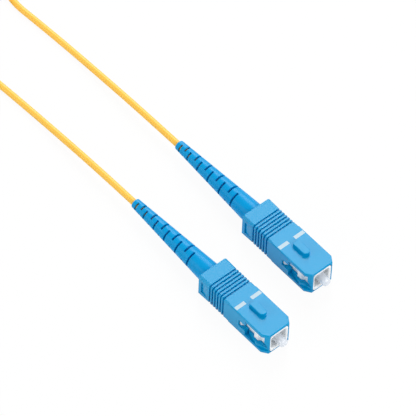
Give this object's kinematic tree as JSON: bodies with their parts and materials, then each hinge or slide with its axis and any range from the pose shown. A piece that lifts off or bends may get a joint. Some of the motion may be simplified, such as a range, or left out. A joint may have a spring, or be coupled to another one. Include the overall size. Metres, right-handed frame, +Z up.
{
  "type": "fibre optic patch cable",
  "caption": "Simplex fibre optic patch cable: yellow jacketed lead with a blue push-pull square connector, slotted boot and ceramic ferrule at each end.",
  "frame": {"origin": "middle of the two connectors' footprint, on the surface they lie on", "axes": "+X the way both connectors are pushed into their sockets, +Y to the left of it, +Z up"},
  "size_m": [0.1644, 0.0303, 0.0086],
  "materials": {
    "grip_blue": "moulded PBT, satin",
    "boot_blue": "moulded elastomer, satin",
    "frame_white": "moulded PBT, satin white",
    "zirconia": "ground and polished zirconia",
    "plated_brass": "nickel-plated brass, turned",
    "crimp_metal": "drawn and crimped sleeve",
    "spring_steel": "stainless spring wire",
    "yarn": "aramid fibre",
    "clear_tube": "extruded fluoropolymer tube",
    "buffer_coat": "extruded tight buffer",
    "fibre_glass": "drawn silica fibre",
    "jacket_yellow": "extruded low-smoke jacket, satin"
  },
  "bodies": {
    "lead": {"plug_frame_a": "frame_white", "stop_ring_a": "plated_brass", "crimp_sleeve_a": "crimp_metal", "aramid_yarn_a": "yarn", "guide_tube_a": "clear_tube", "boot_a": "boot_blue", "ferrule_spring_a": "spring_steel", "plug_frame_b": "frame_white", "stop_ring_b": "plated_brass", "crimp_sleeve_b": "crimp_metal", "aramid_yarn_b": "yarn", "guide_tube_b": "clear_tube", "boot_b": "boot_blue", "ferrule_spring_b": "spring_steel", "cable_leg_a": "jacket_yellow", "cable_leg_b": "jacket_yellow", "cable_coil": "jacket_yellow"},
    "grip_a": {"grip_housing_a": "grip_blue"},
    "grip_b": {"grip_housing_b": "grip_blue"},
    "tip_a": {"ferrule_a": "zirconia", "ferrule_holder_a": "plated_brass", "tight_buffer_a": "buffer_coat", "bare_fibre_a": "fibre_glass"},
    "tip_b": {"ferrule_b": "zirconia", "ferrule_holder_b": "plated_brass", "tight_buffer_b": "buffer_coat", "bare_fibre_b": "fibre_glass"}
  },
  "joints": [
    {"name": "grip_a_pull", "type": "slide", "parent": "lead", "child": "grip_a", "axis": [1, 0, 0], "range_m": [-0.002, 0]},
    {"name": "ferrule_a_push", "type": "slide", "parent": "lead", "child": "tip_a", "axis": [1, 0, 0], "range_m": [-0.001, 0], "stiffness_N_per_m": 4000, "deforming": ["ferrule_spring_a"]},
    {"name": "grip_b_pull", "type": "slide", "parent": "lead", "child": "grip_b", "axis": [1, 0, 0], "range_m": [-0.002, 0]},
    {"name": "ferrule_b_push", "type": "slide", "parent": "lead", "child": "tip_b", "axis": [1, 0, 0], "range_m": [-0.001, 0], "stiffness_N_per_m": 4000, "deforming": ["ferrule_spring_b"]}
  ]
}
